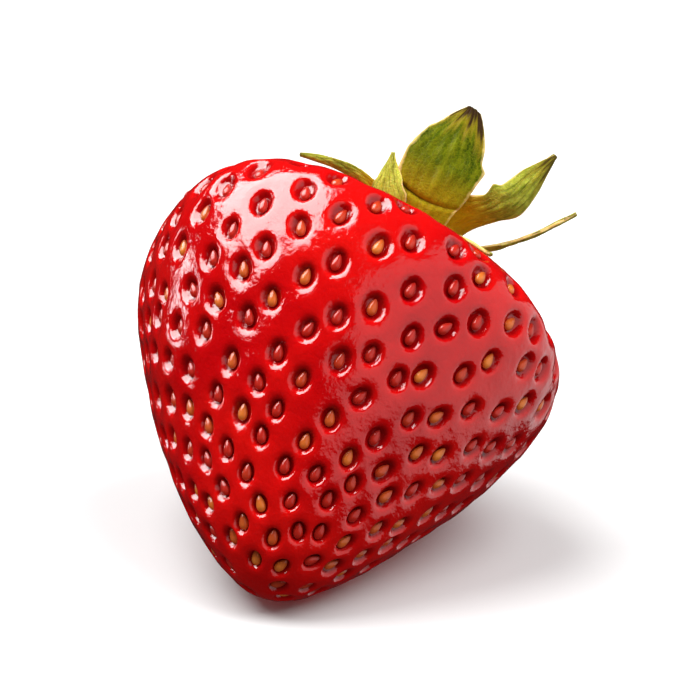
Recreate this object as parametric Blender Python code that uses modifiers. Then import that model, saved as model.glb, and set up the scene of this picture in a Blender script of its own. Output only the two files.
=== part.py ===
"""A ripe strawberry lying on its side, with its green calyx and a short cut stem.

The fruit is modelled along its own axis: +Z runs from the blunt tip up to the calyx. A parent
empty then lays it on its flank, calyx end raised, standing on a small flat spot with the centre
of mass above it. The origin is the middle of the whole model's footprint. Units are metres.
"""

import math
from collections import namedtuple

import bmesh
import bpy
from mathutils import Matrix, Vector
from mathutils.bvhtree import BVHTree

# The fruit
FRUIT_LENGTH = 0.0417                     # blunt tip to crown, along the axis
FRUIT_WIDTH = 0.0425                      # across the shoulders, where it is widest
TIP_POWER = 0.49                          # 0.5 makes the end as blunt as a ball's
CROWN_POWER = 0.55                        # more than 0.5 slopes the crown up to the calyx
TAPER = 0.64                              # moves the widest place from the middle to the crown
TOP_FULLNESS = 0.20                       # keeps the shoulders broad near the crown
OVAL = 0.055                              # the cross-section is an oval, this much each way
OVAL_TURN = math.radians(120)             # direction of the oval's long way
LOBE = 0.024                              # three very soft lobes
LOBE_TURN = math.radians(132)
TIP_BEND = Vector((0.0048, 0.0014, 0.0))  # the tip leans out of the axis
TOP_BEND = Vector((0.0008, 0.0036, 0.0))  # and the crown sits off it too
CROWN_DIP = 0.0020                        # the crown is pressed in a little under the calyx
CROWN_DIP_RADIUS = 0.0105
SEGMENTS_ROUND = 60
SEGMENTS_ALONG = 38

# How it rests
AXIS_RISE = math.radians(33.0)            # the axis climbs this steeply toward the calyx
FLAT_DEPTH = 0.0005                       # how much the soft flank is pressed flat
DOWN = Vector((0.0, math.cos(AXIS_RISE), -math.sin(AXIS_RISE)))

# Calyx and stem
GAP = 0.0003                              # clearance between neighbouring pieces
BASE_RADIUS = 0.0037
BASE_HEIGHT = 0.0016                      # above the crown of the fruit
BRACTLET_LEVEL = 0.0006                   # the outer ring of leaflets starts low
SEPAL_LEVEL = 0.0016                      # the inner ring of sepals starts above it
ROOT_RADIUS = BASE_RADIUS + 0.0005
LEAF_THICKNESS = 0.0004
LEAF_ROWS = 11
LEAF_COLUMNS = 4
STEM_RADIUS = 0.0012
STEM_LENGTH = 0.0055
STEM_LEAN = 0.0014                        # sideways drift of the cut end
STEM_POINTS = 6

# turn: direction around the axis. rise: angle above the crown's plane, at the root and at the
# tip. sweep: how far the tip turns sideways. fold: edges raised, as a share of the half width.
# twist: roll about the midrib by the tip. Lengths in metres, angles in degrees.
Leaf = namedtuple("Leaf", "name turn length width root_rise tip_rise sweep fold twist")
LEAVES = (
    Leaf("sepal_1", -117, 0.0135, 0.0054, 6, -14, -12, 0.50, 40),
    Leaf("sepal_2", -61, 0.0144, 0.0066, 20, 94, 6, 0.15, 0),
    Leaf("sepal_3", -17, 0.0160, 0.0054, 12, 90, 12, 0.30, -15),
    Leaf("sepal_4", 82, 0.0145, 0.0064, 10, 0, -4, 0.25, 0),
    Leaf("sepal_5", 134, 0.0140, 0.0068, 18, 36, 4, 0.25, 0),
    Leaf("sepal_6", -172, 0.0140, 0.0064, 10, 2, 6, 0.30, 12),
    Leaf("bractlet_1", -88, 0.0088, 0.0032, 4, 66, 0, 0.25, 0),
    Leaf("bractlet_2", -40, 0.0062, 0.0028, -8, -14, 0, 0.15, 0),
    Leaf("bractlet_3", 14, 0.0130, 0.0028, 40, 58, -4, 0.40, 60),
    Leaf("bractlet_4", 108, 0.0085, 0.0032, -8, -18, -4, 0.20, 0),
    Leaf("bractlet_5", 160, 0.0085, 0.0032, -8, -16, 4, 0.20, 0),
    Leaf("bractlet_6", -146, 0.0080, 0.0030, -8, -16, 0, 0.20, 0),
)
WIDEST = 0.42                             # where along its length a leaf is widest
ROOT_WIDTH = 0.46                         # root width as a share of the widest
TIP_WIDTH = 0.07

# Colours and finishes: base colour, roughness
FRUIT_FINISH = ((0.62, 0.010, 0.012, 1.0), 0.22)
SEPAL_FINISH = ((0.130, 0.240, 0.020, 1.0), 0.55)
BRACTLET_FINISH = ((0.230, 0.310, 0.045, 1.0), 0.55)
BASE_FINISH = ((0.330, 0.380, 0.120, 1.0), 0.55)
STEM_FINISH = ((0.300, 0.360, 0.110, 1.0), 0.50)

Z_AXIS = Vector((0.0, 0.0, 1.0))


def clear_scene():
    for old in list(bpy.data.objects):
        bpy.data.objects.remove(old, do_unlink=True)


def make_material(name, finish):
    colour, roughness = finish
    material = bpy.data.materials.new(name)
    material.use_nodes = True
    shader = material.node_tree.nodes["Principled BSDF"]
    shader.inputs["Base Color"].default_value = colour
    shader.inputs["Roughness"].default_value = roughness
    shader.inputs["Metallic"].default_value = 0.0
    material.diffuse_color = colour
    return material


def add_object(name, data, material, collection, parent):
    piece = bpy.data.objects.new(name, data)
    data.materials.append(material)
    collection.objects.link(piece)
    piece.parent = parent
    return piece


def mesh_from(name, bm):
    mesh = bpy.data.meshes.new(name)
    bm.to_mesh(mesh)
    bm.free()
    mesh.shade_smooth()
    return mesh


def flank_radius(level):
    """Radius of the fruit at a level from -1 (tip) to 1 (crown), before it is scaled."""
    roundness = (1.0 + level) ** TIP_POWER * (1.0 - level) ** CROWN_POWER
    return roundness * (1.0 + TAPER * level + TOP_FULLNESS * level * level)


WIDEST_RADIUS = max(flank_radius(step / 500.0) for step in range(500))


def fruit_point(direction):
    """Point of the fruit's skin for a direction on the unit sphere."""
    level = max(-1.0, min(1.0, direction.z))
    turn = math.atan2(direction.y, direction.x)
    share = flank_radius(level) / WIDEST_RADIUS
    oval = OVAL * math.cos(2.0 * (turn - OVAL_TURN))
    lobes = LOBE * math.cos(3.0 * (turn - LOBE_TURN))
    radius = share * FRUIT_WIDTH / 2.0 * (1.0 + (oval + lobes) * share)
    toward_tip = (1.0 - level) / 2.0
    toward_top = (1.0 + level) / 2.0
    height = toward_top * FRUIT_LENGTH
    if level > 0.0:
        height -= CROWN_DIP * math.exp(-(radius / CROWN_DIP_RADIUS) ** 2)
    point = Vector((radius * math.cos(turn), radius * math.sin(turn), height))
    return point + TIP_BEND * toward_tip ** 2 + TOP_BEND * toward_top ** 3


def make_fruit_mesh():
    """The fruit as one closed skin, with the flat spot that it rests on cut off."""
    bm = bmesh.new()
    bmesh.ops.create_uvsphere(bm, u_segments=SEGMENTS_ROUND, v_segments=SEGMENTS_ALONG, radius=1.0)
    for vert in bm.verts:
        vert.co = fruit_point(vert.co.normalized())
    lowest = max(vert.co.dot(DOWN) for vert in bm.verts)
    bmesh.ops.bisect_plane(
        bm,
        geom=bm.verts[:] + bm.edges[:] + bm.faces[:],
        dist=1e-7,
        plane_co=DOWN * (lowest - FLAT_DEPTH),
        plane_no=DOWN,
        clear_outer=True,
    )
    rim = [edge for edge in bm.edges if edge.is_boundary]
    bmesh.ops.holes_fill(bm, edges=rim)
    bmesh.ops.recalc_face_normals(bm, faces=bm.faces)
    skin = BVHTree.FromBMesh(bm)
    return mesh_from("fruit", bm), skin, lowest - FLAT_DEPTH


def skin_height(skin, x, y):
    """Height of the top of the fruit above a point of its cross-section."""
    hit = skin.ray_cast(Vector((x, y, 2.0 * FRUIT_LENGTH)), -Z_AXIS)
    return hit[0].z if hit[0] else 0.0


def make_base_mesh(skin, crown):
    """The small fleshy disc that the leaves grow from: it follows the crown underneath."""
    bm = bmesh.new()
    bmesh.ops.create_uvsphere(bm, u_segments=24, v_segments=10, radius=1.0)
    for vert in bm.verts:
        x = crown.x + vert.co.x * BASE_RADIUS
        y = crown.y + vert.co.y * BASE_RADIUS
        under = skin_height(skin, x, y) + GAP
        over = crown.z + GAP + BASE_HEIGHT * (0.45 + 0.55 * abs(vert.co.z))
        share = (1.0 + vert.co.z) / 2.0
        vert.co = Vector((x, y, under + (over - under) * share))
    return mesh_from("calyx_base", bm)


def half_width(leaf, along):
    """Half the width of a leaf at a share of its length."""
    if along < WIDEST:
        share = ROOT_WIDTH + (1.0 - ROOT_WIDTH) * math.sin(math.pi / 2.0 * along / WIDEST)
    else:
        beyond = (along - WIDEST) / (1.0 - WIDEST)
        share = max(TIP_WIDTH, math.cos(math.pi / 2.0 * beyond) ** 0.8)
    return share * leaf.width / 2.0


def leaf_frames(leaf, root, rows):
    """Walk the midrib from the root: point, side and up directions at each row."""
    frames = []
    point = root.copy()
    for row in range(rows + 1):
        along = row / rows
        eased = along * along * (3.0 - 2.0 * along)
        rise = math.radians(leaf.root_rise + (leaf.tip_rise - leaf.root_rise) * eased)
        heading = math.radians(leaf.turn + leaf.sweep * along * along)
        outward = Vector((math.cos(heading), math.sin(heading), 0.0))
        forward = outward * math.cos(rise) + Z_AXIS * math.sin(rise)
        roll = Matrix.Rotation(math.radians(leaf.twist) * along, 3, forward)
        side = roll @ Z_AXIS.cross(outward)
        frames.append((along, point.copy(), side, forward.cross(side)))
        point += forward * leaf.length / rows
    return frames


def make_leaf_mesh(leaf, skin, crown):
    """A thin pointed leaf: a grid laid along the midrib and kept clear of the fruit."""
    level = SEPAL_LEVEL if leaf.name.startswith("sepal") else BRACTLET_LEVEL
    turn = math.radians(leaf.turn)
    root = crown + Vector((math.cos(turn), math.sin(turn), 0.0)) * ROOT_RADIUS + Z_AXIS * level
    frames = leaf_frames(leaf, root, LEAF_ROWS)
    clearance = GAP + LEAF_THICKNESS / 2.0 + level / 2.0
    bm = bmesh.new()
    bmesh.ops.create_grid(bm, x_segments=LEAF_ROWS, y_segments=LEAF_COLUMNS, size=1.0)
    for vert in bm.verts:
        along, midrib, side, up = frames[round((vert.co.x + 1.0) / 2.0 * LEAF_ROWS)]
        reach = half_width(leaf, along)
        across = vert.co.y
        point = midrib + side * across * reach + up * leaf.fold * reach * abs(across) ** 1.6
        floor = skin_height(skin, point.x, point.y) + clearance
        vert.co = Vector((point.x, point.y, max(point.z, floor)))
    return mesh_from(leaf.name, bm)


def make_stem_curve(crown):
    """The short stub of stem left by the cut, a little thicker at both ends."""
    curve = bpy.data.curves.new("stem_stub", "CURVE")
    curve.dimensions = "3D"
    curve.bevel_depth = STEM_RADIUS
    curve.bevel_resolution = 3
    curve.use_fill_caps = True
    spline = curve.splines.new("POLY")
    spline.points.add(STEM_POINTS - 1)
    start = crown + Z_AXIS * (BASE_HEIGHT + 2.0 * GAP)
    for step, point in enumerate(spline.points):
        along = step / (STEM_POINTS - 1)
        lean = STEM_LEAN * along * along
        place = start + Vector((0.6 * lean, -0.8 * lean, STEM_LENGTH * along))
        point.co = (place.x, place.y, place.z, 1.0)
        point.radius = 1.0 + 0.35 * (1.0 - along) ** 3 + 0.12 * along ** 4
    return curve


def centre_on_origin(pose, pieces, flat_level):
    """Put the flat spot at height 0 and the middle of the footprint at the origin."""
    bpy.context.view_layer.update()
    graph = bpy.context.evaluated_depsgraph_get()
    corners = []
    for piece in pieces:
        evaluated = piece.evaluated_get(graph)
        mesh = evaluated.to_mesh()
        corners.extend(evaluated.matrix_world @ vert.co for vert in mesh.vertices)
        evaluated.to_mesh_clear()
    middle_x = (min(c.x for c in corners) + max(c.x for c in corners)) / 2.0
    middle_y = (min(c.y for c in corners) + max(c.y for c in corners)) / 2.0
    pose.location = (-middle_x, -middle_y, flat_level)
    bpy.context.view_layer.update()


def main():
    clear_scene()
    collection = bpy.data.collections.new("strawberry")
    bpy.context.scene.collection.children.link(collection)
    pose = bpy.data.objects.new("resting_pose", None)
    pose.rotation_euler = (AXIS_RISE - math.pi / 2.0, 0.0, 0.0)
    collection.objects.link(pose)

    fruit_mesh, skin, flat_level = make_fruit_mesh()
    crown = fruit_point(Z_AXIS)
    leaf_materials = {
        "sepal": make_material("sepal_green", SEPAL_FINISH),
        "bractlet": make_material("bractlet_green", BRACTLET_FINISH),
    }
    pieces = [
        add_object("fruit", fruit_mesh, make_material("skin", FRUIT_FINISH), collection, pose),
        add_object(
            "calyx_base", make_base_mesh(skin, crown),
            make_material("calyx_base_green", BASE_FINISH), collection, pose,
        ),
        add_object(
            "stem_stub", make_stem_curve(crown),
            make_material("stem_green", STEM_FINISH), collection, pose,
        ),
    ]
    for leaf in LEAVES:
        material = leaf_materials[leaf.name.split("_")[0]]
        piece = add_object(leaf.name, make_leaf_mesh(leaf, skin, crown), material, collection, pose)
        shell = piece.modifiers.new("thickness", "SOLIDIFY")
        shell.thickness = LEAF_THICKNESS
        shell.offset = 0.0
        pieces.append(piece)
    centre_on_origin(pose, pieces, flat_level)


main()
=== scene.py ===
"""Looks of a ripe strawberry lying on its side.

The fruit's skin with its pits, the seeds in them, the leaves of the calyx and the cut stem are
modelled here at fine detail, in the fruit's own space: +Z runs from the tip to the calyx. One
matrix, worked out from the CAD fruit's box, then lays them where the CAD pieces lie. Metres.
"""

import math
from collections import namedtuple

import bpy
import numpy as np
from mathutils import Matrix, Vector
from mathutils.bvhtree import BVHTree


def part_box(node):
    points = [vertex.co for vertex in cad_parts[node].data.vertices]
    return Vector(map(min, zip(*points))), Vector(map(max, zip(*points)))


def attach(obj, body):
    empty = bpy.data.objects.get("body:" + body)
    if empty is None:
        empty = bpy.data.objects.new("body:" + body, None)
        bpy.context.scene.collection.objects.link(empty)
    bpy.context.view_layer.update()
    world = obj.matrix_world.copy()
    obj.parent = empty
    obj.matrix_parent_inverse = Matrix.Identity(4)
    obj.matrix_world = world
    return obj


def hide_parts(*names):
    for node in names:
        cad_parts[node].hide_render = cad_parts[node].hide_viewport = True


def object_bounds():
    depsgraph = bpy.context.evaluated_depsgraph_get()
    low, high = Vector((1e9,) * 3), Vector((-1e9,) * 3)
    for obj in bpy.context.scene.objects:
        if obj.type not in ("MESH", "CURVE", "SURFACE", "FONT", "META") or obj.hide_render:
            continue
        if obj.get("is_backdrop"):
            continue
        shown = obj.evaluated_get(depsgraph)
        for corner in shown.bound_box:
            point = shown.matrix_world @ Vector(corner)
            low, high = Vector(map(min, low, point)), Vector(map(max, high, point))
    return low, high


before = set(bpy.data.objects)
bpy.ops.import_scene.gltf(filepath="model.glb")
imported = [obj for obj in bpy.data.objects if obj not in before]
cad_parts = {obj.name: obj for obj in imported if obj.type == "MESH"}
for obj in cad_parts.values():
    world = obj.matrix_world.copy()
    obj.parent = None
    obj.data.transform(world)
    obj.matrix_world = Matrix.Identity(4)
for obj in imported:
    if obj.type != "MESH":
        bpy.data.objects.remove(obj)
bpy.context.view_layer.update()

MM = 0.001
FULL_TURN = 2.0 * math.pi

# The fruit's form, as in the CAD model. Levels run from -1 at the tip to 1 at the crown.
FRUIT_LENGTH = 41.7 * MM
FRUIT_WIDTH = 42.5 * MM
TIP_POWER = 0.49
CROWN_POWER = 0.55
TAPER = 0.64
TOP_FULLNESS = 0.20
OVAL = 0.055
OVAL_TURN = math.radians(120)
LOBE = 0.024
LOBE_TURN = math.radians(132)
TIP_BEND = np.array((4.8 * MM, 1.4 * MM, 0.0))
TOP_BEND = np.array((0.8 * MM, 3.6 * MM, 0.0))
CROWN_DIP = 2.0 * MM
CROWN_DIP_RADIUS = 10.5 * MM
CROWN_DIP_FULL = 0.25                 # from this level up the dip has its whole depth
AXIS_RISE = math.radians(33.0)
FLAT_DEPTH = 0.5 * MM
DOWN = np.array((0.0, math.cos(AXIS_RISE), -math.sin(AXIS_RISE)))

# The shoulder on the camera's side lies a little lower than the CAD model's
SHOULDER_EASE = 2.3 * MM
SHOULDER_TURN = math.radians(-50)
SHOULDER_LEVEL = 0.80
SHOULDER_BAND = 0.20                  # levels over which that fades out
SHOULDER_POLE = 7.0 * MM              # distance from the axis over which it fades in

# The skin
SKIN_CUTS = 126                       # squares along each of a ball's six sides
COARSE_CUTS = 48                      # the same, for the form that the leaves and disc rest on
PIT_LONG = 1.50 * MM                  # half length and half width of a pit
PIT_WIDE = 1.20 * MM
PIT_DEPTH = 0.68 * MM
PIT_RIM = 0.80                        # where its wall stands, as a share of those
PIT_WALL = 0.062                      # steepness of its wall: less is steeper
PIT_REACH = 3.4 * MM                  # how far round a seed its pit is worked out
PIT_FAR = 9.0                         # distance given to the skin that no pit reaches
NET_SWELL = 0.07 * MM                 # the skin between the pits stands up in soft cushions
NET_START = 0.85                      # they start at this distance from a seed, in pits
NET_RISE = 0.75                       # and reach their height this much further out
BROAD_LUMPS = (0.16 * MM, 13.0 * MM, 3)       # height, size and random seed
SMALL_LUMPS = (0.022 * MM, 2.6 * MM, 4)
CALYX_WRINKLES = (0.055 * MM, 1.3 * MM, 5)
WRINKLE_START = 0.60                  # the wrinkles start at this level
WRINKLE_RISE = 0.25                   # and have their height this much further up
CROWN_TINT_START = 0.93               # level and softness of the border of the paler crown
CROWN_TINT_SOFT = 0.025
NOISE_WAVES = 14
NOISE_PITCH = (0.7, 1.6)              # shortest and longest wave, as a share of the size

# The seeds
SEED_COUNT = 350
SEED_LEVELS = (-0.985, 0.965)         # the seeds keep clear of the calyx
SEED_TIP_CROWDING = 1.3               # how much denser they stand at the tip
SEED_SHIFT = 0.16                     # unevenness of their places, as a share of the spacing
SEED_LEAN = 0.16                      # spread of their lean, in radians
SEED_CROWN_SCALE = 1.03               # scale of a seed's pit by the crown
SEED_TIP_SHRINK = 0.30                # how much less it is at the tip
SEED_SCALE_SPREAD = 0.055
SEED_HALF = (0.80 * MM, 0.46 * MM, 0.36 * MM)
SEED_SIZE_SHARES = (0.9, 0.1)         # the share that is the same for all, the one of its pit
SEED_SINK = 0.50 * MM
SEED_AROUND = 12
SEED_RINGS = 9
SEED_TAPER = 0.28
SEED_POINT = 1.06                     # reach of its end toward the calyx

# Calyx and stem
BASE_RADIUS = 4.9 * MM
BASE_HEIGHT = 2.9 * MM
BASE_RINGS = 22
BASE_AROUND = 96
BASE_RIB = 0.22 * MM
BASE_RIB_WIDTH = 0.17                 # in radians
BASE_RIPPLE = 0.08 * MM
BASE_SLOPE = 0.32                     # how much of its height it loses toward the rim
BASE_BRIM = 0.60                      # the share of the radius where it turns down to the skin
BASE_SINK = 0.15 * MM
ROOT_RADIUS = 3.0 * MM
LEAF_THICKNESS = 0.30 * MM
LEAF_ROWS = 84
LEAF_COLUMNS = 36
LEAF_CLEARANCE = 0.25 * MM            # over the skin, and more for leaves with a high root
LEAF_RANDOM_SEED = 100                # the leaves' random seeds count on from this one
FOLD_POWER = 1.6
PUCKER_HEIGHT = 0.10 * MM
VEIN_DEPTH = 0.10 * MM
VEIN_PLACES = (0.30, 0.58, 0.82)      # side veins, as shares of the half width
VEIN_WIDTH = 0.045
MIDRIB_WIDTH = 0.07
BRANCH_COUNT = 7.5
BRANCH_SLANT = 1.6
BRANCH_WIDTH = 0.16
CREASE_HEIGHT = 0.5 * MM
CREASE_WIDTH = 0.018
STEM_RADIUS = 1.25 * MM
STEM_LENGTH = 4.7 * MM
STEM_FOOT = 2.0 * MM
STEM_LEAN = 1.4 * MM
STEM_AROUND = 48
STEM_ROWS = 40
STEM_CUT = (                          # rings of the cut end: share of length, share of radius
    (1.012, 0.90), (0.996, 0.74), (0.970, 0.45), (0.965, 0.22),
)

# Outlines of leaves: share of the length, half width in mm on the left and on the right. Left and
# right are as seen from the tip.
SEPAL_EDGE = (
    (0, 1.7, 1.7), (0.15, 2.1, 2.1), (0.42, 3.2, 3.2), (0.60, 2.8, 2.9), (0.66, 2.2, 2.6),
    (0.80, 1.6, 1.5), (0.93, 0.7, 0.6), (1, 0.1, 0.1),
)
TOOTHED_EDGE = (
    (0, 1.8, 1.8), (0.15, 2.2, 2.1), (0.40, 3.2, 3.0), (0.52, 3.3, 2.8), (0.56, 2.5, 2.8),
    (0.68, 2.2, 2.7), (0.72, 2.0, 1.9), (0.88, 1.0, 1.0), (1, 0.1, 0.1),
)
NARROW_EDGE = (
    (0, 0.9, 0.9), (0.30, 0.65, 0.65), (0.55, 0.55, 0.55), (0.80, 0.35, 0.35), (1, 0.08, 0.08),
)
BROAD_EDGE = (
    (0, 2.3, 2.4), (0.22, 2.9, 2.8), (0.36, 3.7, 3.4), (0.52, 3.8, 3.7), (0.60, 3.5, 3.9),
    (0.64, 3.3, 3.2), (0.74, 2.8, 2.9), (0.78, 2.3, 2.7), (0.90, 1.4, 1.9), (0.97, 0.7, 1.3),
    (1, 0.4, 0.9),
)
WAISTED_EDGE = (
    (0, 2.1, 2.1), (0.20, 2.2, 2.2), (0.40, 1.7, 1.7), (0.48, 1.6, 1.5), (0.58, 2.4, 1.8),
    (0.62, 1.8, 1.8), (0.80, 1.3, 1.3), (0.94, 0.5, 0.5), (1, 0.15, 0.15),
)
BRACTLET_EDGE = (
    (0, 1.0, 1.0), (0.20, 1.2, 1.2), (0.45, 1.6, 1.6), (0.75, 1.0, 1.1), (1, 0.08, 0.08),
)
JAGGED_EDGE = (
    (0, 1.3, 1.3), (0.30, 1.7, 1.8), (0.50, 1.9, 2.0), (0.62, 1.7, 1.5), (0.68, 1.2, 1.4),
    (0.84, 0.7, 0.7), (0.94, 0.35, 0.3), (1, 0.08, 0.08),
)
THREAD_EDGE = (
    (0, 0.8, 0.8), (0.30, 0.45, 0.45), (0.80, 0.28, 0.28), (0.86, 0.5, 0.28), (0.90, 0.25, 0.22),
    (1, 0.06, 0.06),
)

# turn: direction round the axis. level: height of the root over the crown. rises: angles above
# the crown's plane, at even steps from root to tip. sweep: sideways turn of the tip. fold: how far
# the edges rise, as a share of the half width. twist: roll about the midrib by the tip. wave:
# height of the waves along the edges. olive, brown, pale: how olive the root is, how brown the tip
# and how light the green, from 0 to 1. crease: the share of the length where a sharp crease
# crosses the leaf. Lengths are in mm and angles in degrees.
Leaf = namedtuple(
    "Leaf",
    "name turn level length rises sweep fold twist edge wave olive brown pale crease",
    defaults=(None,),
)
LEAVES = (
    Leaf("sepal_1", turn=-116, level=2.8, length=12.6, rises=(46, 4, -14, -26, -30), sweep=-8,
         fold=0.60, twist=60, edge=NARROW_EDGE, wave=0.05, olive=0.9, brown=0.3, pale=0.9),
    Leaf("sepal_2", turn=-61, level=1.9, length=14.6, rises=(28, 62, 92, 96), sweep=6,
         fold=0.10, twist=0, edge=BROAD_EDGE, wave=0.16, olive=0.4, brown=0.95, pale=0.0,
         crease=0.25),
    Leaf("sepal_3", turn=-19, level=2.1, length=16.2, rises=(84, 46, 6, 6, 70, 72, 66), sweep=8,
         fold=0.30, twist=-18, edge=WAISTED_EDGE, wave=0.12, olive=1.0, brown=0.85, pale=0.9),
    Leaf("sepal_4", turn=82, level=1.4, length=14.5, rises=(10, 8, 4, 0), sweep=-4,
         fold=0.22, twist=0, edge=TOOTHED_EDGE, wave=0.24, olive=0.2, brown=0.4, pale=0.2),
    Leaf("sepal_5", turn=134, level=1.6, length=14.0, rises=(18, 22, 30, 38), sweep=4,
         fold=0.24, twist=0, edge=SEPAL_EDGE, wave=0.24, olive=0.1, brown=0.6, pale=0.3),
    Leaf("sepal_6", turn=-172, level=1.5, length=14.0, rises=(10, 8, 4, 2), sweep=6,
         fold=0.28, twist=12, edge=SEPAL_EDGE, wave=0.20, olive=0.15, brown=0.4, pale=0.2),
    Leaf("bractlet_1", turn=-97, level=1.4, length=7.8, rises=(20, 40, 60, 70), sweep=0,
         fold=0.25, twist=0, edge=JAGGED_EDGE, wave=0.14, olive=0.5, brown=0.1, pale=1.0),
    Leaf("bractlet_2", turn=-24, level=1.7, length=10.5, rises=(4, -10, -20, -26), sweep=0,
         fold=0.20, twist=10, edge=BRACTLET_EDGE, wave=0.08, olive=0.9, brown=0.3, pale=1.0),
    Leaf("bractlet_3", turn=8, level=1.1, length=14.8, rises=(38, 30, 44, 54), sweep=-6,
         fold=0.55, twist=66, edge=THREAD_EDGE, wave=0.06, olive=0.3, brown=0.3, pale=0.3),
    Leaf("bractlet_4", turn=108, level=0.8, length=8.5, rises=(-8, -10, -14, -18), sweep=-4,
         fold=0.20, twist=0, edge=BRACTLET_EDGE, wave=0.10, olive=0.2, brown=0.3, pale=0.3),
    Leaf("bractlet_5", turn=160, level=0.8, length=8.5, rises=(-8, -10, -13, -16), sweep=4,
         fold=0.20, twist=0, edge=BRACTLET_EDGE, wave=0.10, olive=0.2, brown=0.2, pale=0.3),
    Leaf("bractlet_6", turn=-146, level=0.8, length=8.0, rises=(-8, -10, -13, -16), sweep=0,
         fold=0.20, twist=0, edge=BRACTLET_EDGE, wave=0.10, olive=0.3, brown=0.2, pale=0.4),
)

# Camera and lights: directions are turned from the camera's own, + to its right
CAMERA_AZIMUTH = 28.0
CAMERA_ELEVATION = 20.0
CAMERA_DISTANCE = 0.95
CAMERA_LENS = 540.0
CAMERA_SENSOR = 36.0
CAMERA_CLIP = (0.05, 60.0)
WORLD_LIGHT = 0.30                    # brightness of the surroundings as a light
WORLD_SEEN = 1.0                      # as the camera sees them
WORLD_MIRRORED = 0.015                # as the wet skin mirrors them
FLOOR_HALF = 8.0
FLOOR_DROP = 0.02 * MM                # keeps the floor clear of the fruit's flat spot

rng = np.random.default_rng(20)


# ---------------------------------------------------------------------------
# The fruit's form
# ---------------------------------------------------------------------------

def flank_radius(level):
    """Radius of the plain turned form, up to a factor."""
    tip = np.maximum(1.0 + level, 0.0) ** TIP_POWER
    crown = np.maximum(1.0 - level, 0.0) ** CROWN_POWER
    return tip * crown * (1.0 + TAPER * level + TOP_FULLNESS * level * level)


WIDEST_RADIUS = flank_radius(np.linspace(0.0, 1.0, 501)).max()


def crown_dip(level, radius):
    """Depth of the hollow that the calyx sits in."""
    onset = np.clip(level / CROWN_DIP_FULL, 0.0, 1.0)
    return CROWN_DIP * np.exp(-((radius / CROWN_DIP_RADIUS) ** 2)) * onset


def shoulder_ease(level, turn, radius):
    """How much lower the shoulder is on the camera's side."""
    near = np.exp(-(((level - SHOULDER_LEVEL) / SHOULDER_BAND) ** 2))
    facing = np.cos((turn - SHOULDER_TURN) / 2.0) ** 4
    off_axis = np.clip(radius / SHOULDER_POLE, 0.0, 1.0) ** 2
    return SHOULDER_EASE * (near * facing * off_axis)


def fruit_points(level, turn):
    """Points of the smooth fruit at levels from -1 (tip) to 1 (crown) and turns round the axis."""
    share = flank_radius(level) / WIDEST_RADIUS
    uneven = OVAL * np.cos(2.0 * (turn - OVAL_TURN)) + LOBE * np.cos(3.0 * (turn - LOBE_TURN))
    radius = share * FRUIT_WIDTH / 2.0 * (1.0 + uneven * share)
    height = (1.0 + level) / 2.0 * FRUIT_LENGTH
    height = height - crown_dip(level, radius)
    height = height - shoulder_ease(level, turn, radius)
    points = np.stack([radius * np.cos(turn), radius * np.sin(turn), height], axis=-1)
    points = points + TIP_BEND * (((1.0 - level) / 2.0) ** 2)[..., None]
    return points + TOP_BEND * (((1.0 + level) / 2.0) ** 3)[..., None]


def sheet_faces(rows, columns):
    """Faces of a sheet of points with that many squares each way."""
    index = np.arange((rows + 1) * (columns + 1)).reshape(rows + 1, columns + 1)
    corners = [index[:-1, :-1], index[1:, :-1], index[1:, 1:], index[:-1, 1:]]
    return np.stack(corners, axis=-1).reshape(-1, 4)


def band_faces(start, around):
    """Faces between the ring of points that begins at start and the ring after it."""
    faces = []
    for step in range(around):
        here = start + step
        after = start + (step + 1) % around
        faces.append([here, after, after + around, here + around])
    return faces


def ball_grid(cuts):
    """A ball of nearly even squares: unit directions and four-cornered faces."""
    steps = np.tan(np.linspace(-1.0, 1.0, cuts + 1) * math.pi / 4.0)
    a, b = np.meshgrid(steps, steps, indexing="ij")
    one = np.ones_like(a)
    sides = ((one, a, b), (-one, b, a), (b, one, a), (a, -one, b), (a, b, one), (b, a, -one))
    points = np.concatenate([np.stack(side, axis=-1).reshape(-1, 3) for side in sides])
    points /= np.linalg.norm(points, axis=1)[:, None]
    patch = sheet_faces(cuts, cuts)
    faces = np.concatenate([patch + side * one.size for side in range(len(sides))])
    _, first, merged = np.unique(
        np.round(points, 6), axis=0, return_index=True, return_inverse=True
    )
    return points[first], merged.reshape(-1)[faces]


def ball_form(directions):
    """The smooth fruit in a ball's directions."""
    return fruit_points(directions[:, 2], np.arctan2(directions[:, 1], directions[:, 0]))


def new_mesh(name, points, faces, attributes=None):
    """A smooth mesh. Its faces are an array, or a list where they differ in size."""
    mesh = bpy.data.meshes.new(name)
    if isinstance(faces, np.ndarray):
        faces = faces.tolist()
    mesh.from_pydata(np.asarray(points).tolist(), [], faces)
    for label, values in (attributes or {}).items():
        layer = mesh.attributes.new(label, "FLOAT", "POINT")
        layer.data.foreach_set("value", np.asarray(values, dtype=np.float32).ravel())
    mesh.shade_smooth()
    mesh.update()
    return mesh


def mesh_normals(mesh):
    normals = np.empty(len(mesh.vertices) * 3, dtype=np.float32)
    mesh.vertex_normals.foreach_get("vector", normals)
    return normals.reshape(-1, 3).astype(float)


def resting_matrix(points):
    """Lays the fruit's space on its flank: the flat spot at height 0, the rest where CAD has it."""
    turn = Matrix.Rotation(AXIS_RISE - math.pi / 2.0, 4, "X")
    laid = points @ np.array(turn.to_3x3()).T
    low, high = (np.array(corner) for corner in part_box("fruit"))
    middle = (low + high) / 2.0 - (laid.min(axis=0) + laid.max(axis=0)) / 2.0
    flat_level = (points @ DOWN).max() - FLAT_DEPTH
    return Matrix.Translation((middle[0], middle[1], flat_level)) @ turn


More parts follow.
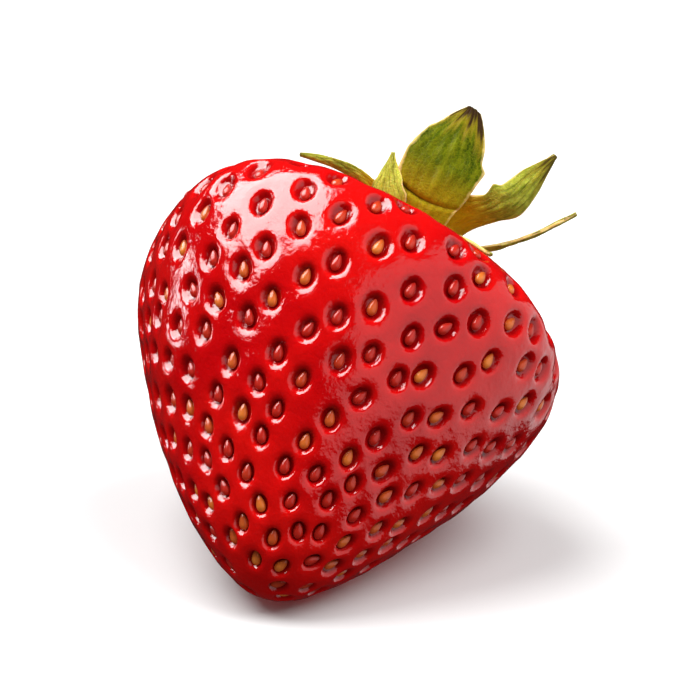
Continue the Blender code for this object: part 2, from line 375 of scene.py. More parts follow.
def smooth_noise(points, size, seed):
    """Soft random field over points, about 1 high, from a few waves of about that size."""
    waves = np.random.default_rng(seed)
    total = np.zeros(len(points))
    for _ in range(NOISE_WAVES):
        direction = waves.normal(size=3)
        direction /= np.linalg.norm(direction)
        pitch = size * waves.uniform(*NOISE_PITCH)
        total += np.sin(points @ direction * FULL_TURN / pitch + waves.uniform(0, FULL_TURN))
    return total / math.sqrt(NOISE_WAVES)


# ---------------------------------------------------------------------------
# Skin and seeds
# ---------------------------------------------------------------------------

Seed = namedtuple("Seed", "centre normal along side scale tone")


def seed_levels():
    """Levels that share the skin evenly among the seeds, and crowd them toward the tip."""
    levels = np.linspace(SEED_LEVELS[0], SEED_LEVELS[1], 600)
    radius = flank_radius(levels) / WIDEST_RADIUS * FRUIT_WIDTH / 2.0
    climb = np.hypot(np.gradient(radius), FRUIT_LENGTH / 2.0 * np.gradient(levels))
    crowding = 1.0 + SEED_TIP_CROWDING * ((1.0 - levels) / 2.0) ** 3
    amount = np.cumsum(radius * climb * crowding)
    amount /= amount[-1]
    shares = (np.arange(SEED_COUNT) + 0.5) / SEED_COUNT
    return np.interp(shares, amount, levels).tolist()


def skin_directions(level, turn):
    """A point of the smooth skin, its normal and the direction there toward the crown."""
    step = 1e-3
    here, east, north = fruit_points(
        np.array([level, level, level + step]), np.array([turn, turn + step, turn])
    )
    east = east - here
    north = north - here
    normal = np.cross(east, north)
    normal /= np.linalg.norm(normal)
    north -= normal * north.dot(normal)
    north /= np.linalg.norm(north)
    return here, normal, north


def seed_layout():
    """Places the seeds in the spiral rows that a strawberry has, a little unevenly."""
    spacing = math.sqrt(2.0 * FULL_TURN / SEED_COUNT)
    golden = math.pi * (3.0 - math.sqrt(5.0))
    seeds = []
    for number, level in enumerate(seed_levels()):
        ring = math.sqrt(max(1e-4, 1.0 - level * level))
        level = level + rng.normal() * SEED_SHIFT * spacing * ring * 0.5
        level = min(max(level, SEED_LEVELS[0]), SEED_LEVELS[1])
        turn = number * golden + rng.normal() * SEED_SHIFT * spacing / ring * 0.5
        here, normal, north = skin_directions(level, turn)
        lean = rng.normal() * SEED_LEAN
        along = north * math.cos(lean) + np.cross(normal, north) * math.sin(lean)
        toward_tip = (1.0 - level) / 2.0
        scale = SEED_CROWN_SCALE - SEED_TIP_SHRINK * toward_tip ** 2
        scale = scale * (1.0 + rng.normal() * SEED_SCALE_SPREAD)
        seeds.append(Seed(here, normal, along, np.cross(normal, along), scale, rng.uniform()))
    return seeds


def pit_distance(points, seeds):
    """Distance of each point to its nearest seed, in units of that seed's pit."""
    nearest = np.full(len(points), PIT_FAR)
    for seed in seeds:
        offset = points - seed.centre
        close = np.where((np.abs(offset) < PIT_REACH * seed.scale).all(axis=1))[0]
        local = offset[close]
        long_way = local @ seed.along / (PIT_LONG * seed.scale)
        wide_way = local @ seed.side / (PIT_WIDE * seed.scale)
        distance = np.sqrt(long_way ** 2 + wide_way ** 2)
        nearest[close] = np.minimum(nearest[close], distance)
    return nearest


def make_skin(directions, faces, smooth, seeds):
    """The skin: the fruit's smooth form with a pit round each seed and a soft net between."""
    base = new_mesh("skin_form", smooth, faces)
    normals = mesh_normals(base)
    bpy.data.meshes.remove(base)
    level = directions[:, 2]
    distance = pit_distance(smooth, seeds)
    pit = 1.0 / (1.0 + np.exp((distance - PIT_RIM) / PIT_WALL))
    beyond = np.clip((distance - NET_START) / NET_RISE, 0.0, 1.0)
    swell = beyond * beyond * (3.0 - 2.0 * beyond)
    lift = NET_SWELL * swell - PIT_DEPTH * pit
    for height, size, seed in (BROAD_LUMPS, SMALL_LUMPS):
        lift += height * smooth_noise(smooth, size, seed)
    near_calyx = np.clip((level - WRINKLE_START) / WRINKLE_RISE, 0.0, 1.0)
    height, size, seed = CALYX_WRINKLES
    lift += height * near_calyx * smooth_noise(smooth, size, seed) * (1.0 - pit)
    points = smooth + normals * lift[:, None]
    crown = 1.0 / (1.0 + np.exp((CROWN_TINT_START - level) / CROWN_TINT_SOFT))
    return new_mesh("skin", points, faces, {"pit": pit, "crown": crown})


def seed_form():
    """A seed as a flattened drop: unit points and faces, +X toward the calyx."""
    angle = np.linspace(0.0, FULL_TURN, SEED_AROUND, endpoint=False)
    reach = -np.cos(np.linspace(0.0, math.pi, SEED_RINGS))[1:-1]
    girth = np.sqrt(1.0 - reach ** 2) * (1.0 - SEED_TAPER * reach)
    rings = np.stack([
        np.repeat(reach, SEED_AROUND),
        np.outer(girth, np.cos(angle)).ravel(),
        np.outer(girth, np.sin(angle)).ravel(),
    ], axis=-1)
    points = np.concatenate([rings, [(-1.0, 0.0, 0.0), (SEED_POINT, 0.0, 0.0)]])
    faces = []
    for ring in range(len(reach) - 1):
        faces.extend(band_faces(ring * SEED_AROUND, SEED_AROUND))
    first, last = len(points) - 2, len(points) - 1
    top = (len(reach) - 1) * SEED_AROUND
    for step in range(SEED_AROUND):
        after = (step + 1) % SEED_AROUND
        faces.append([first, after, step])
        faces.append([last, top + step, top + after])
    return points, faces


def make_seeds(seeds):
    """All the seeds in one mesh, with the shade of each and the place along it."""
    form, form_faces = seed_form()
    common, following = SEED_SIZE_SHARES
    points, faces, tones, places = [], [], [], []
    for number, seed in enumerate(seeds):
        half = np.array(SEED_HALF) * (common + following * seed.scale)
        local = form * half
        centre = seed.centre - seed.normal * SEED_SINK
        placed = centre + local[:, :1] * seed.along + local[:, 1:2] * seed.side
        placed = placed + local[:, 2:3] * seed.normal
        points.append(placed)
        start = number * len(form)
        faces.extend([start + corner for corner in face] for face in form_faces)
        tones.append(np.full(len(form), seed.tone))
        places.append(form[:, 0])
    return new_mesh(
        "seeds", np.concatenate(points), faces,
        {"tone": np.concatenate(tones), "place": np.concatenate(places)},
    )


# ---------------------------------------------------------------------------
# Calyx and stem
# ---------------------------------------------------------------------------

def skin_height(tree, x, y):
    """Height of the smooth fruit's crown side at a place, or 0 beside the fruit."""
    hit = tree.ray_cast(Vector((x, y, 2.0 * FRUIT_LENGTH)), Vector((0.0, 0.0, -1.0)))
    return hit[0].z if hit[0] else 0.0


def softened(values, reach, spread):
    """Values along a line, each blended with that many neighbours on both sides."""
    soft = np.exp(-((np.arange(-reach, reach + 1) / spread) ** 2))
    return np.convolve(np.pad(values, reach, mode="edge"), soft / soft.sum(), mode="valid")


def leaf_outline(leaf, along):
    """Half widths of a leaf on its left and right at shares of its length."""
    places, left, right = np.array(leaf.edge).T
    return [softened(np.interp(along, places, side), 3, 1.4) * MM for side in (left, right)]


def leaf_midrib(leaf, root, along):
    """Points, side and up directions along the midrib."""
    keys = np.interp(along, np.linspace(0.0, 1.0, len(leaf.rises)), leaf.rises)
    rise = np.radians(softened(keys, 12, 6.0))
    heading = np.radians(leaf.turn + leaf.sweep * along * along)
    level = np.zeros_like(heading)
    outward = np.stack([np.cos(heading), np.sin(heading), level], axis=-1)
    level_side = np.stack([-np.sin(heading), np.cos(heading), level], axis=-1)
    z_axis = np.array((0.0, 0.0, 1.0))
    forward = outward * np.cos(rise)[:, None] + z_axis * np.sin(rise)[:, None]
    flat_up = np.cross(forward, level_side)
    roll = np.radians(leaf.twist) * along
    side = level_side * np.cos(roll)[:, None] + flat_up * np.sin(roll)[:, None]
    up = np.cross(forward, side)
    steps = forward[:-1] * leaf.length * MM / LEAF_ROWS
    points = root + np.concatenate([np.zeros((1, 3)), np.cumsum(steps, axis=0)])
    return points, side, up


def leaf_veins(along, across):
    """How much of a vein runs through each place of a leaf, from 0 to 1."""
    veins = np.exp(-((across / MIDRIB_WIDTH) ** 2)) * (1.0 - 0.6 * along)
    for place in VEIN_PLACES:
        drift = place * (0.55 + 0.45 * np.sin(math.pi * np.clip(along * 0.9 + 0.1, 0, 1)))
        line = np.exp(-(((np.abs(across) - drift) / VEIN_WIDTH) ** 2))
        veins = np.maximum(veins, line * (0.65 - 0.35 * along))
    branch = (along * BRANCH_COUNT - np.abs(across) * BRANCH_SLANT) % 1.0
    branch = np.abs(branch - 0.5) * 2.0
    branches = np.exp(-(((1.0 - branch) / BRANCH_WIDTH) ** 2)) * 0.38 * (1.0 - along)
    return np.maximum(veins, branches)


def leaf_crease(leaf, along, across):
    """How much of the leaf's crease is at each place: a line across it, stronger on the left. It
    raises the sheet there and carries a painted shadow.
    """
    if leaf.crease is None:
        return np.zeros_like(along)
    offset = along - leaf.crease - 0.04 * across ** 2
    return np.exp(-((offset / CREASE_WIDTH) ** 2)) * (0.75 - 0.35 * across)


def leaf_lift(leaf, along, across, reach, phase):
    """How far fold, waves and puckers lift each place of a leaf out of its flat sheet."""
    side = np.abs(across)
    ripple = np.sin(9.0 * along + phase[0])
    ripple = ripple + 0.6 * np.sin(17.0 * along + phase[1] + 1.5 * np.sign(across))
    waviness = leaf.wave * MM * ripple * side ** 2 * (0.3 + 0.7 * along)
    pucker = PUCKER_HEIGHT * np.sin(23.0 * along + 5.0 * across + phase[2])
    pucker = pucker * np.sin(13.0 * across + phase[3])
    return leaf.fold * reach * side ** FOLD_POWER + waviness + pucker * (1.0 - side)


def leaf_ageing(leaf, along, across, phase):
    """How olive each place of a leaf is, toward the root, and how dry, toward a ragged tip."""
    olive = leaf.olive * np.clip(2.2 - along / 0.23, 0.0, 1.0)
    ragged = 0.05 * np.sin(11.0 * across + phase[0]) + 0.04 * np.sin(29.0 * across + phase[1])
    reached = along + ragged + 0.10 * np.maximum(across, 0.0) ** 2
    return olive, leaf.brown * np.clip((reached - 0.72) / 0.24, 0.0, 1.0)


def keep_over_skin(points, tree, clearance):
    """Raises the points that lie lower than that over the skin."""
    for point in points:
        point[2] = max(point[2], skin_height(tree, point[0], point[1]) + clearance)


def make_leaf(leaf, tree, crown, number):
    """A leaf as a fine sheet: outline with teeth, folds, veins, waves and curl."""
    turn = math.radians(leaf.turn)
    root = crown + np.array((math.cos(turn), math.sin(turn), 0.0)) * ROOT_RADIUS
    root = root + np.array((0.0, 0.0, leaf.level * MM))
    lengthwise = np.linspace(0.0, 1.0, LEAF_ROWS + 1)
    crosswise = np.linspace(-1.0, 1.0, LEAF_COLUMNS + 1)
    midrib, side, up = leaf_midrib(leaf, root, lengthwise)
    left, right = leaf_outline(leaf, lengthwise)
    along, across = np.meshgrid(lengthwise, crosswise, indexing="ij")
    reach = np.where(across < 0.0, left[:, None], right[:, None])
    phase = np.random.default_rng(LEAF_RANDOM_SEED + number).uniform(0.0, FULL_TURN, 4)
    veins = leaf_veins(along, across)
    crease = leaf_crease(leaf, along, across)
    lift = leaf_lift(leaf, along, across, reach, phase) - VEIN_DEPTH * veins
    lift = lift + CREASE_HEIGHT * crease
    points = midrib[:, None, :] + side[:, None, :] * (across * reach)[..., None]
    points = points + up[:, None, :] * lift[..., None]
    points = points.reshape(-1, 3)
    keep_over_skin(points, tree, LEAF_CLEARANCE + leaf.level * MM / 2.5)
    olive, dry = leaf_ageing(leaf, along, across, phase)
    return new_mesh(leaf.name + "_leaf", points, sheet_faces(LEAF_ROWS, LEAF_COLUMNS), {
        "along": along, "across": across, "vein": veins, "dry": dry, "crease": crease,
        "olive": olive, "pale": np.full_like(along, leaf.pale),
    })


def rib_strength(angle):
    """How much of a rib the disc has in a direction: one runs to each leaf."""
    total = 0.0
    for leaf in LEAVES:
        apart = (angle - math.radians(leaf.turn) + math.pi) % FULL_TURN - math.pi
        total += math.exp(-((apart / BASE_RIB_WIDTH) ** 2))
    return total


def base_point(tree, crown, share, angle):
    """A point of the disc at a share of its radius. Near the rim it turns down to the skin."""
    rib = rib_strength(angle)
    radius = BASE_RADIUS * share * (0.92 + 0.10 * rib * share)
    x = crown[0] + radius * math.cos(angle)
    y = crown[1] + radius * math.sin(angle)
    over = crown[2] + BASE_HEIGHT * (1.0 - BASE_SLOPE * share ** 2) + BASE_RIB * rib * share
    over += BASE_RIPPLE * math.sin(23.0 * angle) * share * (1.0 - share)
    under = skin_height(tree, x, y) - BASE_SINK
    drop = max(0.0, (share - BASE_BRIM) / (1.0 - BASE_BRIM)) ** 1.8
    return (x, y, over + (under - over) * drop)


def make_base(tree, crown):
    """The fleshy disc under the leaves: ribbed toward each leaf, sunk in the crown's middle."""
    points = [(crown[0], crown[1], crown[2] + BASE_HEIGHT)]
    edges = [0.0]
    for ring in range(1, BASE_RINGS + 1):
        share = ring / BASE_RINGS
        for step in range(BASE_AROUND):
            points.append(base_point(tree, crown, share, FULL_TURN * step / BASE_AROUND))
            edges.append(share)
    faces = [[0, 1 + step, 1 + (step + 1) % BASE_AROUND] for step in range(BASE_AROUND)]
    for ring in range(BASE_RINGS - 1):
        for a, b, c, d in band_faces(1 + ring * BASE_AROUND, BASE_AROUND):
            faces.append([a, d, c, b])
    rim = 1 + (BASE_RINGS - 1) * BASE_AROUND
    faces.append([rim + step for step in reversed(range(BASE_AROUND))])
    return new_mesh("base", points, faces, {"edge": edges})


def make_stem(crown):
    """The cut stem: a ribbed, slightly bent stalk, wider at its foot, with a sunken cut end."""
    points, cut = [], []
    profile = [(row / STEM_ROWS, 1.0, 0.0) for row in range(STEM_ROWS + 1)]
    profile += [(share, inset, 1.0) for share, inset in STEM_CUT]
    for share, inset, is_cut in profile:
        lean = STEM_LEAN * share * share
        flare = 1.0 + 0.75 * math.exp(-share / 0.10)
        flare += 0.10 * math.exp(-(1.0 - min(share, 1.0)) / 0.06)
        for step in range(STEM_AROUND):
            angle = FULL_TURN * step / STEM_AROUND
            rib = 1.0 + 0.035 * math.sin(5.0 * angle + 2.0 * share) + 0.02 * math.sin(11.0 * angle)
            radius = STEM_RADIUS * flare * inset * rib
            x = crown[0] + 0.6 * lean + radius * math.cos(angle)
            y = crown[1] - 0.8 * lean + radius * math.sin(angle)
            points.append((x, y, crown[2] + STEM_FOOT + share * STEM_LENGTH))
            cut.append(is_cut)
    faces = []
    for ring in range(len(profile) - 1):
        faces.extend(band_faces(ring * STEM_AROUND, STEM_AROUND))
    last = (len(profile) - 1) * STEM_AROUND
    faces.append([last + step for step in range(STEM_AROUND)])
    faces.append(list(reversed(range(STEM_AROUND))))
    return new_mesh("stem", points, faces, {"cut": cut})


# ---------------------------------------------------------------------------
# Materials
# ---------------------------------------------------------------------------

def colour(red, green, blue):
    return (red, green, blue, 1.0)


SKIN_DEEP = colour(0.55, 0.0015, 0.003)
SKIN_BRIGHT = colour(0.70, 0.005, 0.004)
# Painted shade: the deeper red put into the pits, where their walls shade them
PAINTED_PIT_SHADE = colour(0.30, 0.0008, 0.002)
SKIN_CROWN = colour(0.80, 0.12, 0.06)
SEED_GOLD = colour(0.78, 0.22, 0.030)
SEED_RED = colour(0.52, 0.020, 0.010)
SEED_DARK = colour(0.30, 0.004, 0.003)
SEPAL_DEEP = colour(0.038, 0.058, 0.001)
SEPAL_LIGHT = colour(0.118, 0.135, 0.002)
BRACTLET_DEEP = colour(0.150, 0.180, 0.010)
BRACTLET_LIGHT = colour(0.420, 0.400, 0.060)
LEAF_LIME = colour(0.62, 0.66, 0.085)
LEAF_STREAK = colour(0.045, 0.080, 0.001)
LEAF_NETWORK = colour(0.22, 0.26, 0.004)
LEAF_VEIN = colour(0.28, 0.30, 0.010)
LEAF_OLIVE = colour(0.72, 0.43, 0.012)
LEAF_FADED = colour(0.30, 0.20, 0.012)
LEAF_BROWN = colour(0.045, 0.022, 0.008)
LEAF_CREAM = colour(0.80, 0.58, 0.20)
# Painted shadow: the near-black line along a leaf's crease
PAINTED_CREASE_SHADOW = colour(0.018, 0.020, 0.004)
BASE_GREEN = colour(0.16, 0.23, 0.012)
BASE_PALE = colour(0.40, 0.42, 0.060)
BASE_CREAM = colour(0.62, 0.46, 0.12)
STEM_GREEN = colour(0.13, 0.20, 0.012)
STEM_PALE = colour(0.34, 0.38, 0.050)
CUT_BROWN = colour(0.22, 0.12, 0.030)
CUT_CREAM = colour(0.60, 0.50, 0.20)
FLOOR_GREY = colour(0.73, 0.73, 0.73)
FLOOR_PALE = colour(0.75, 0.75, 0.75)
WORLD_WHITE = colour(1.0, 1.0, 1.0)

# A colour mix node has sockets of the same names for numbers, so these are told by their number
MIX_FIRST = 6
MIX_SECOND = 7
MIX_RESULT = 2


class Nodes:
    """Short calls for building a node material."""

    def __init__(self, name):
        self.material = bpy.data.materials.new(name)
        self.material.use_nodes = True
        self.tree = self.material.node_tree
        self.shader = self.tree.nodes["Principled BSDF"]
        self.place = self.add("ShaderNodeTexCoord").outputs["Object"]

    def add(self, kind, **settings):
        node = self.tree.nodes.new(kind)
        for label, value in settings.items():
            setattr(node, label, value)
        return node

    def feed(self, socket, value):
        """Links another node's output to a socket, or sets the socket to a plain value."""
        if hasattr(value, "is_output"):
            self.tree.links.new(value, socket)
        else:
            socket.default_value = value

    def set(self, values):
        """Feeds the shader's own sockets."""
        for label, value in values.items():
            self.feed(self.shader.inputs[label], value)

    def attribute(self, name):
        return self.add("ShaderNodeAttribute", attribute_name=name).outputs["Fac"]

    def noise(self, scale, detail=3.0, roughness=0.55, place=None):
        node = self.add("ShaderNodeTexNoise")
        self.feed(node.inputs["Vector"], self.place if place is None else place)
        node.inputs["Scale"].default_value = scale
        node.inputs["Detail"].default_value = detail
        node.inputs["Roughness"].default_value = roughness
        return node.outputs["Fac"]

    def streaks(self):
        """Noise drawn out along a leaf."""
        place = self.add("ShaderNodeCombineXYZ")
        self.feed(place.inputs["X"], self.math("MULTIPLY", self.attribute("across"), 7.0))
        self.feed(place.inputs["Y"], self.math("MULTIPLY", self.attribute("along"), 5.0))
        return self.noise(1.0, 4.0, 0.5, place.outputs["Vector"])

    def wall_distance(self, scale):
        """Distance to the walls between random cells."""
        node = self.add("ShaderNodeTexVoronoi", feature="DISTANCE_TO_EDGE")
        self.feed(node.inputs["Vector"], self.place)
        node.inputs["Scale"].default_value = scale
        return node.outputs["Distance"]

    def ramp(self, value, low, high, to_low=0.0, to_high=1.0):
        node = self.add("ShaderNodeMapRange")
        self.feed(node.inputs["Value"], value)
        node.inputs["From Min"].default_value = low
        node.inputs["From Max"].default_value = high
        node.inputs["To Min"].default_value = to_low
        node.inputs["To Max"].default_value = to_high
        return node.outputs["Result"]

    def math(self, operation, first, second=0.0):
        node = self.add("ShaderNodeMath", operation=operation)
        self.feed(node.inputs[0], first)
        self.feed(node.inputs[1], second)
        return node.outputs[0]

    def mix(self, factor, first, second):
        node = self.add("ShaderNodeMix", data_type="RGBA")
        self.feed(node.inputs["Factor"], factor)
        self.feed(node.inputs[MIX_FIRST], first)
        self.feed(node.inputs[MIX_SECOND], second)
        return node.outputs[MIX_RESULT]

    def bump(self, height, strength, distance):
        node = self.add("ShaderNodeBump")
        self.feed(node.inputs["Height"], height)
        node.inputs["Strength"].default_value = strength
        node.inputs["Distance"].default_value = distance
        self.set({"Normal": node.outputs["Normal"], "Coat Normal": node.outputs["Normal"]})


def skin_material():
    """Wet-looking red skin with painted shade, a deeper red, in the pits, and a little lighter by
    the calyx.
    """
    nodes = Nodes("strawberry_skin")
    patches = nodes.ramp(nodes.noise(95.0, 2.0), 0.35, 0.68)
    red = nodes.mix(patches, SKIN_DEEP, SKIN_BRIGHT)
    # Painted shade: the pits are darkened toward a deeper red
    pit = nodes.ramp(nodes.attribute("pit"), 0.05, 0.7, 0.0, 0.85)
    red = nodes.mix(pit, red, PAINTED_PIT_SHADE)
    crown = nodes.ramp(nodes.attribute("crown"), 0.0, 1.0, 0.0, 0.5)
    red = nodes.mix(crown, red, SKIN_CROWN)
    nodes.set({
        "Base Color": red,
        "Roughness": 0.30,
        "Specular IOR Level": 0.0,
        "Subsurface Weight": 0.25,
        "Subsurface Radius": (1.0, 0.12, 0.06),
        "Subsurface Scale": 1.6 * MM,
        "Coat Weight": 1.0,
        "Coat Roughness": 0.06,
        "Coat IOR": 1.5,
    })
    coarse = nodes.math("MULTIPLY", nodes.noise(620.0, 2.0), 2.0)
    nodes.bump(nodes.math("ADD", nodes.noise(2200.0, 3.0), coarse), 0.8, 0.06 * MM)
    return nodes.material


def seed_material():
    """Golden to orange-red seeds, each its own shade, darker at the narrow end."""
    nodes = Nodes("seed_gold")
    ripe = nodes.ramp(nodes.attribute("tone"), 0.0, 0.50)
    gold = nodes.mix(ripe, SEED_GOLD, SEED_RED)
    narrow_end = nodes.ramp(nodes.attribute("place"), -0.2, 1.0, 0.0, 0.75)
    nodes.set({
        "Base Color": nodes.mix(narrow_end, gold, SEED_DARK),
        "Roughness": 0.28,
        "Specular IOR Level": 0.12,
        "Coat Weight": 0.5,
        "Coat Roughness": 0.10,
    })
    nodes.bump(nodes.noise(2600.0, 2.0), 0.3, 0.05 * MM)
    return nodes.material


def living_green(nodes, deep, light):
    """Mottled green with darker streaks, a paler network and paler veins."""
    mottle = nodes.ramp(nodes.noise(800.0, 4.0, 0.65), 0.42, 0.60)
    green = nodes.mix(mottle, deep, light)
    broad = nodes.ramp(nodes.noise(210.0, 2.0), 0.38, 0.62, 0.0, 0.5)
    green = nodes.mix(broad, green, light)
    mottle = nodes.ramp(mottle, 0.0, 1.0, 0.45, 0.85)
    green = nodes.mix(nodes.math("MULTIPLY", nodes.attribute("pale"), mottle), green, LEAF_LIME)
    streaks = nodes.ramp(nodes.streaks(), 0.50, 0.68, 0.0, 0.7)
    green = nodes.mix(streaks, green, LEAF_STREAK)
    network = nodes.ramp(nodes.wall_distance(2600.0), 0.0, 0.10, 0.35, 0.0)
    green = nodes.mix(network, green, LEAF_NETWORK)
    veins = nodes.ramp(nodes.attribute("vein"), 0.1, 0.9, 0.0, 0.5)
    return nodes.mix(veins, green, LEAF_VEIN)


def aged(nodes, green):
    """The green turned olive at the root and brown at the tip, with creamy edges and a painted
    shadow along the crease.
    """
    olive = nodes.ramp(nodes.attribute("olive"), 0.0, 1.0, 0.0, 0.9)
    paint = nodes.mix(olive, green, LEAF_OLIVE)
    dry = nodes.attribute("dry")
    paint = nodes.mix(nodes.ramp(dry, 0.10, 0.60, 0.0, 0.6), paint, LEAF_FADED)
    paint = nodes.mix(nodes.ramp(dry, 0.62, 0.90), paint, LEAF_BROWN)
    uneven = nodes.ramp(nodes.noise(900.0, 2.0), 0.3, 0.7, -0.05, 0.03)
    side = nodes.math("ADD", nodes.math("ABSOLUTE", nodes.attribute("across")), uneven)
    paint = nodes.mix(nodes.ramp(side, 0.90, 0.985, 0.0, 0.9), paint, LEAF_CREAM)
    # Painted shadow: the crease is darkened toward near black
    crease = nodes.ramp(nodes.attribute("crease"), 0.35, 0.95, 0.0, 0.85)
    return nodes.mix(crease, paint, PAINTED_CREASE_SHADOW)


def leaf_material(name, deep, light):
    """A thin, dull leaf that lets some light through."""
    nodes = Nodes(name)
    nodes.set({
        "Base Color": aged(nodes, living_green(nodes, deep, light)),
        "Roughness": 0.45,
        "Specular IOR Level": 0.03,
        "Subsurface Weight": 0.35,
        "Subsurface Radius": (0.6, 1.0, 0.10),
        "Subsurface Scale": 0.5 * MM,
    })
    blisters = nodes.ramp(nodes.wall_distance(2600.0), 0.0, 0.2)
    nodes.bump(nodes.math("ADD", nodes.noise(1900.0, 3.0), blisters), 0.45, 0.06 * MM)
    return nodes.material


def base_material():
    """The disc that the leaves grow from: mottled green, creamy toward its rim."""
    nodes = Nodes("calyx_base_pale")
    streak = nodes.ramp(nodes.noise(1100.0, 4.0, 0.6), 0.40, 0.62)
    paint = nodes.mix(streak, BASE_GREEN, BASE_PALE)
    rim = nodes.ramp(nodes.attribute("edge"), 0.70, 1.0)
    nodes.set({
        "Base Color": nodes.mix(rim, paint, BASE_CREAM),
        "Roughness": 0.55,
        "Specular IOR Level": 0.2,
    })
    nodes.bump(nodes.noise(1600.0, 4.0), 0.8, 0.15 * MM)
    return nodes.material


def stem_material():
    """Mottled green stalk with a pale, browned cut end."""
    nodes = Nodes("stem_green")
    streak = nodes.ramp(nodes.noise(1000.0, 4.0, 0.6), 0.40, 0.62)
    paint = nodes.mix(streak, STEM_GREEN, STEM_PALE)
    fibre = nodes.ramp(nodes.noise(2400.0, 3.0), 0.35, 0.65)
    end = nodes.mix(fibre, CUT_BROWN, CUT_CREAM)
    nodes.set({
        "Base Color": nodes.mix(nodes.attribute("cut"), paint, end),
        "Roughness": 0.5,
        "Specular IOR Level": 0.25,
    })
    nodes.bump(nodes.noise(1500.0, 4.0), 0.7, 0.12 * MM)
    return nodes.material


def floor_material():
    """Pale matt grey with a hardly visible mottling."""
    nodes = Nodes("floor_white")
    speck = nodes.ramp(nodes.noise(40.0, 2.0), 0.3, 0.7)
    nodes.set({
        "Base Color": nodes.mix(speck, FLOOR_GREY, FLOOR_PALE),
        "Roughness": 0.7,
        "Specular IOR Level": 0.2,
    })
    return nodes.material


# ---------------------------------------------------------------------------
# Stage
# ---------------------------------------------------------------------------

def camera_directions():
    """The camera's level forward and right directions."""
    azimuth = math.radians(CAMERA_AZIMUTH)
    return (
        Vector((-math.sin(azimuth), math.cos(azimuth), 0.0)),
        Vector((math.cos(azimuth), math.sin(azimuth), 0.0)),
    )


def stage_direction(turn, rise):
    """Direction from the fruit, turned from the camera's side, + to its right, and raised."""
    forward, right = camera_directions()
    turn, rise = math.radians(turn), math.radians(rise)
    level = -forward * math.cos(turn) + right * math.sin(turn)
    return level * math.cos(rise) + Vector((0.0, 0.0, math.sin(rise)))


def aim(thing, target):
    direction = target - thing.location
    thing.rotation_euler = direction.to_track_quat("-Z", "Y").to_euler()


def add_camera(target):
    data = bpy.data.cameras.new("camera")
    data.lens = CAMERA_LENS
    data.sensor_width = CAMERA_SENSOR
    data.clip_start, data.clip_end = CAMERA_CLIP
    camera = bpy.data.objects.new("camera", data)
    bpy.context.scene.collection.objects.link(camera)
    camera.location = target + stage_direction(0.0, CAMERA_ELEVATION) * CAMERA_DISTANCE
    aim(camera, target)
    bpy.context.scene.camera = camera


def add_lamp(name, kind, middle, turn, rise, distance):
    light = bpy.data.objects.new(name, bpy.data.lights.new(name, kind))
    bpy.context.scene.collection.objects.link(light)
    light.location = middle + stage_direction(turn, rise) * distance
    aim(light, middle)
    light.visible_camera = False
    return light


def add_soft_sun(name, middle, turn, rise, strength, spread):
    """Even soft light that shades the scene but doesn't mirror in the wet skin."""
    light = add_lamp(name, "SUN", middle, turn, rise, 1.0)
    light.data.energy = strength
    light.data.angle = math.radians(spread)
    light.visible_glossy = False


def add_reflection(name, middle, turn, rise, distance, size, radiance, roll=0.0, shift=(0, 0)):
    """A lit panel that shows only in the gloss, as a softbox of that radiance would.

    roll turns the panel in its own plane, and shift moves it there, sideways and up.
    """
    light = add_lamp(name, "AREA", middle, turn, rise, distance)
    light.data.shape = "RECTANGLE"
    light.data.size, light.data.size_y = size
    light.data.energy = radiance * math.pi * size[0] * size[1]
    plane = light.rotation_euler.to_matrix()
    light.location += plane @ Vector((shift[0], shift[1], 0.0))
    light.rotation_euler = (plane @ Matrix.Rotation(math.radians(roll), 3, "Z")).to_euler()
    light.visible_diffuse = False


def add_lights(middle):
    """Soft light from the left and the right, and the panels that the wet skin mirrors."""
    add_soft_sun("key", middle, turn=-95, rise=64, strength=3.5, spread=50)
    add_soft_sun("side_fill", middle, turn=68, rise=54, strength=2.6, spread=50)
    add_reflection("key_shine", middle, turn=-100, rise=58, distance=0.62,
                   size=(0.72, 0.72), radiance=13.5)
    add_reflection("side_shine", middle, turn=75, rise=0, distance=0.50,
                   size=(3.56, 0.75), radiance=1.05, roll=-26, shift=(0.39, -0.12))
    add_reflection("glint", middle, turn=-115, rise=2, distance=0.60,
                   size=(0.10, 0.10), radiance=12.0)


def add_floor():
    """A pale floor that takes the shadow but neither mirrors in the skin nor lights it."""
    far, near = FLOOR_HALF, -FLOOR_HALF
    mesh = new_mesh("floor", [(near, near, 0), (far, near, 0), (far, far, 0), (near, far, 0)],
                    [(0, 1, 2, 3)])
    mesh.materials.append(floor_material())
    floor = bpy.data.objects.new("floor", mesh)
    floor.location.z = -FLOOR_DROP
    bpy.context.scene.collection.objects.link(floor)
    floor.visible_glossy = False
    floor.visible_diffuse = False
    floor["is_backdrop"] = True


def set_world():
    """Pale surroundings that light the scene but hardly mirror in the wet skin."""
    world = bpy.data.worlds.new("studio")
    bpy.context.scene.world = world
    world.use_nodes = True
    tree = world.node_tree
    background = tree.nodes["Background"]
    background.inputs["Color"].default_value = WORLD_WHITE
    path = tree.nodes.new("ShaderNodeLightPath")
    seen = tree.nodes.new("ShaderNodeMapRange")
    seen.inputs["To Min"].default_value = WORLD_LIGHT
    seen.inputs["To Max"].default_value = WORLD_SEEN
    tree.links.new(path.outputs["Is Camera Ray"], seen.inputs["Value"])
    mirrored = tree.nodes.new("ShaderNodeMapRange")
    mirrored.inputs["To Max"].default_value = WORLD_MIRRORED
    tree.links.new(path.outputs["Is Glossy Ray"], mirrored.inputs["Value"])
    tree.links.new(seen.outputs["Result"], mirrored.inputs["To Min"])
    tree.links.new(mirrored.outputs["Result"], background.inputs["Strength"])


# ---------------------------------------------------------------------------
# Putting it together
# ---------------------------------------------------------------------------

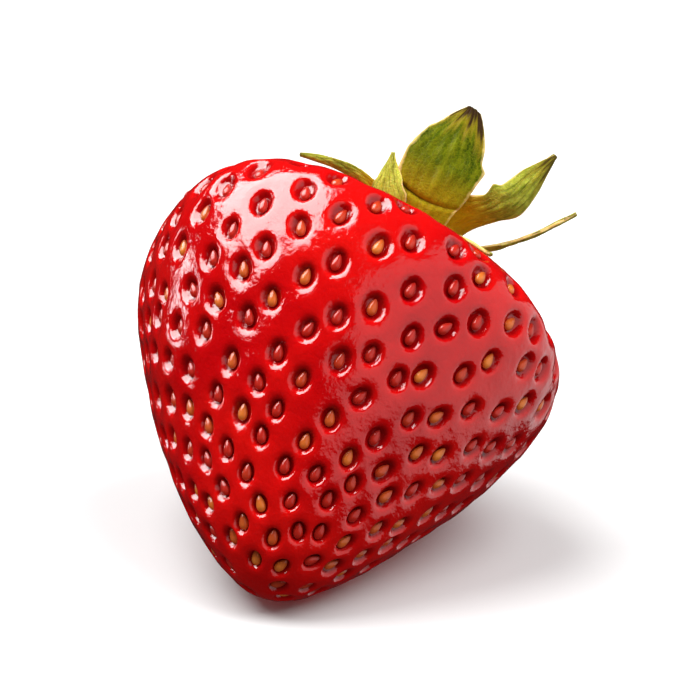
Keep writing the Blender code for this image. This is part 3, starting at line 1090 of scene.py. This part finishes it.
def add_piece(name, mesh, material, matrix, node=None):
    """Lays a mesh in the resting place, hangs it on the root body and hides the CAD node that it is
    drawn instead of.
    """
    points = np.empty(len(mesh.vertices) * 3, dtype=np.float32)
    mesh.vertices.foreach_get("co", points)
    placed = points.reshape(-1, 3).astype(float) @ np.array(matrix.to_3x3()).T
    placed = placed + np.array(matrix.translation)
    placed[:, 2] = np.maximum(placed[:, 2], 0.0)
    mesh.vertices.foreach_set("co", placed.astype(np.float32).ravel())
    mesh.update()
    mesh.materials.append(material)
    piece = bpy.data.objects.new(name, mesh)
    bpy.context.scene.collection.objects.link(piece)
    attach(piece, "root")
    if node:
        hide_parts(node)
    return piece


def add_leaves(tree, crown, matrix):
    """The leaves of both rings, each given its thickness by a modifier."""
    greens = {
        "sepal": leaf_material("sepal_green", SEPAL_DEEP, SEPAL_LIGHT),
        "bractlet": leaf_material("bractlet_green", BRACTLET_DEEP, BRACTLET_LIGHT),
    }
    for number, leaf in enumerate(LEAVES):
        family = leaf.name.split("_")[0]
        mesh = make_leaf(leaf, tree, crown, number)
        piece = add_piece(leaf.name + "_blade", mesh, greens[family], matrix, leaf.name)
        shell = piece.modifiers.new("thickness", "SOLIDIFY")
        shell.thickness = LEAF_THICKNESS
        shell.offset = 0.0


def main():
    bpy.context.scene.view_settings.view_transform = "Standard"
    directions, faces = ball_grid(SKIN_CUTS)
    smooth = ball_form(directions)
    matrix = resting_matrix(smooth)
    seeds = seed_layout()
    crown = fruit_points(np.array([1.0]), np.array([0.0]))[0]
    coarse, coarse_faces = ball_grid(COARSE_CUTS)
    tree = BVHTree.FromPolygons(ball_form(coarse).tolist(), coarse_faces.tolist())

    skin = make_skin(directions, faces, smooth, seeds)
    add_piece("fruit_skin", skin, skin_material(), matrix, "fruit")
    add_piece("achenes", make_seeds(seeds), seed_material(), matrix)
    add_leaves(tree, crown, matrix)
    base = make_base(tree, crown)
    add_piece("calyx_disc", base, base_material(), matrix, "calyx_base")
    add_piece("cut_stem", make_stem(crown), stem_material(), matrix, "stem_stub")

    low, high = (Vector(corner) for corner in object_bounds())
    middle = (low + high) / 2.0
    add_floor()
    set_world()
    add_camera(middle)
    add_lights(middle)


main()
